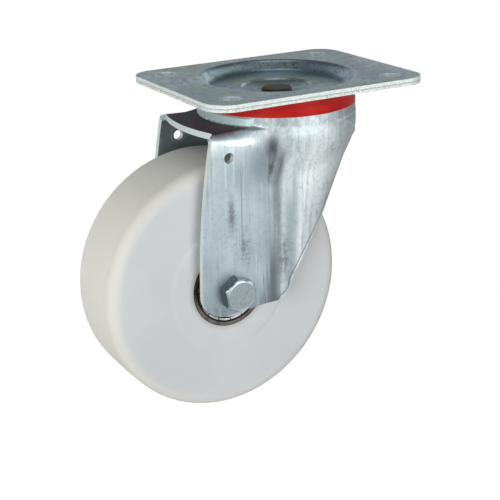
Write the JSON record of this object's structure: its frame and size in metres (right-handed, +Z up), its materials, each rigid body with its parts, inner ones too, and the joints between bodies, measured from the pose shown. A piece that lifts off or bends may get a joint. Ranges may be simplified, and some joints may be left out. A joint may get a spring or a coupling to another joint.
{
  "type": "swivel plate castor",
  "caption": "Swivel plate castor: bolt-on plate, pressed steel fork on a double ball race with a seal ring, and a rigid plastic wheel on ball bearings.",
  "frame": {"origin": "centre of the top plate's mounting face, on the swivel axis", "axes": "+Z up out of the mounting face; X is the rolling direction, with the wheel trailing towards -X; Y is along the axle"},
  "size_m": [0.194, 0.11, 0.19],
  "materials": {
    "zinc_plated_steel": "bright zinc plating with faint press marks",
    "bare_steel": "oiled bare steel",
    "bearing_steel": "ground bearing steel",
    "red_seal": "satin moulded plastic",
    "white_nylon": "satin ivory-white cast polyamide"
  },
  "bodies": {
    "plate": {"top_plate": "zinc_plated_steel", "kingpin": "bare_steel", "kingpin_washer": "zinc_plated_steel", "kingpin_nut": "zinc_plated_steel", "lower_ball_cup": "zinc_plated_steel"},
    "fork": {"fork": "zinc_plated_steel", "seal_ring": "red_seal", "axle_bolt": "zinc_plated_steel", "axle_nut": "zinc_plated_steel", "axle_tube": "bare_steel", "near_spacer": "zinc_plated_steel", "far_spacer": "zinc_plated_steel", "near_bearing_inner_ring": "bearing_steel", "far_bearing_inner_ring": "bearing_steel"},
    "wheel": {"wheel": "white_nylon", "near_bearing_outer_ring": "bearing_steel", "near_bearing_outer_shield": "bearing_steel", "near_bearing_inner_shield": "bearing_steel", "far_bearing_outer_ring": "bearing_steel", "far_bearing_outer_shield": "bearing_steel", "far_bearing_inner_shield": "bearing_steel"},
    "upper_ball_row": {"upper_head_balls": "bearing_steel"},
    "lower_ball_row": {"lower_head_balls": "bearing_steel"},
    "near_ball_set": {"near_bearing_balls": "bearing_steel", "near_bearing_cage": "bearing_steel"},
    "far_ball_set": {"far_bearing_balls": "bearing_steel", "far_bearing_cage": "bearing_steel"}
  },
  "joints": [
    {"name": "swivel", "type": "hinge", "parent": "plate", "child": "fork", "pos_m": [0, 0, 0], "axis": [0, 0, 1], "continuous": true},
    {"name": "wheel_spin", "type": "hinge", "parent": "fork", "child": "wheel", "pos_m": [-0.049, 0, -0.115], "axis": [0, 1, 0], "continuous": true},
    {"name": "upper_row_orbit", "type": "hinge", "parent": "plate", "child": "upper_ball_row", "pos_m": [0, 0, 0], "axis": [0, 0, 1], "continuous": true},
    {"name": "lower_row_orbit", "type": "hinge", "parent": "plate", "child": "lower_ball_row", "pos_m": [0, 0, 0], "axis": [0, 0, 1], "continuous": true},
    {"name": "near_cage_orbit", "type": "hinge", "parent": "fork", "child": "near_ball_set", "pos_m": [-0.049, 0, -0.115], "axis": [0, 1, 0], "continuous": true},
    {"name": "far_cage_orbit", "type": "hinge", "parent": "fork", "child": "far_ball_set", "pos_m": [-0.049, 0, -0.115], "axis": [0, 1, 0], "continuous": true}
  ],
  "couplings": [
    {"joint": "upper_row_orbit", "follows": "swivel", "ratio": 0.5},
    {"joint": "lower_row_orbit", "follows": "swivel", "ratio": 0.5},
    {"joint": "near_cage_orbit", "follows": "wheel_spin", "ratio": 0.618},
    {"joint": "far_cage_orbit", "follows": "wheel_spin", "ratio": 0.618}
  ]
}
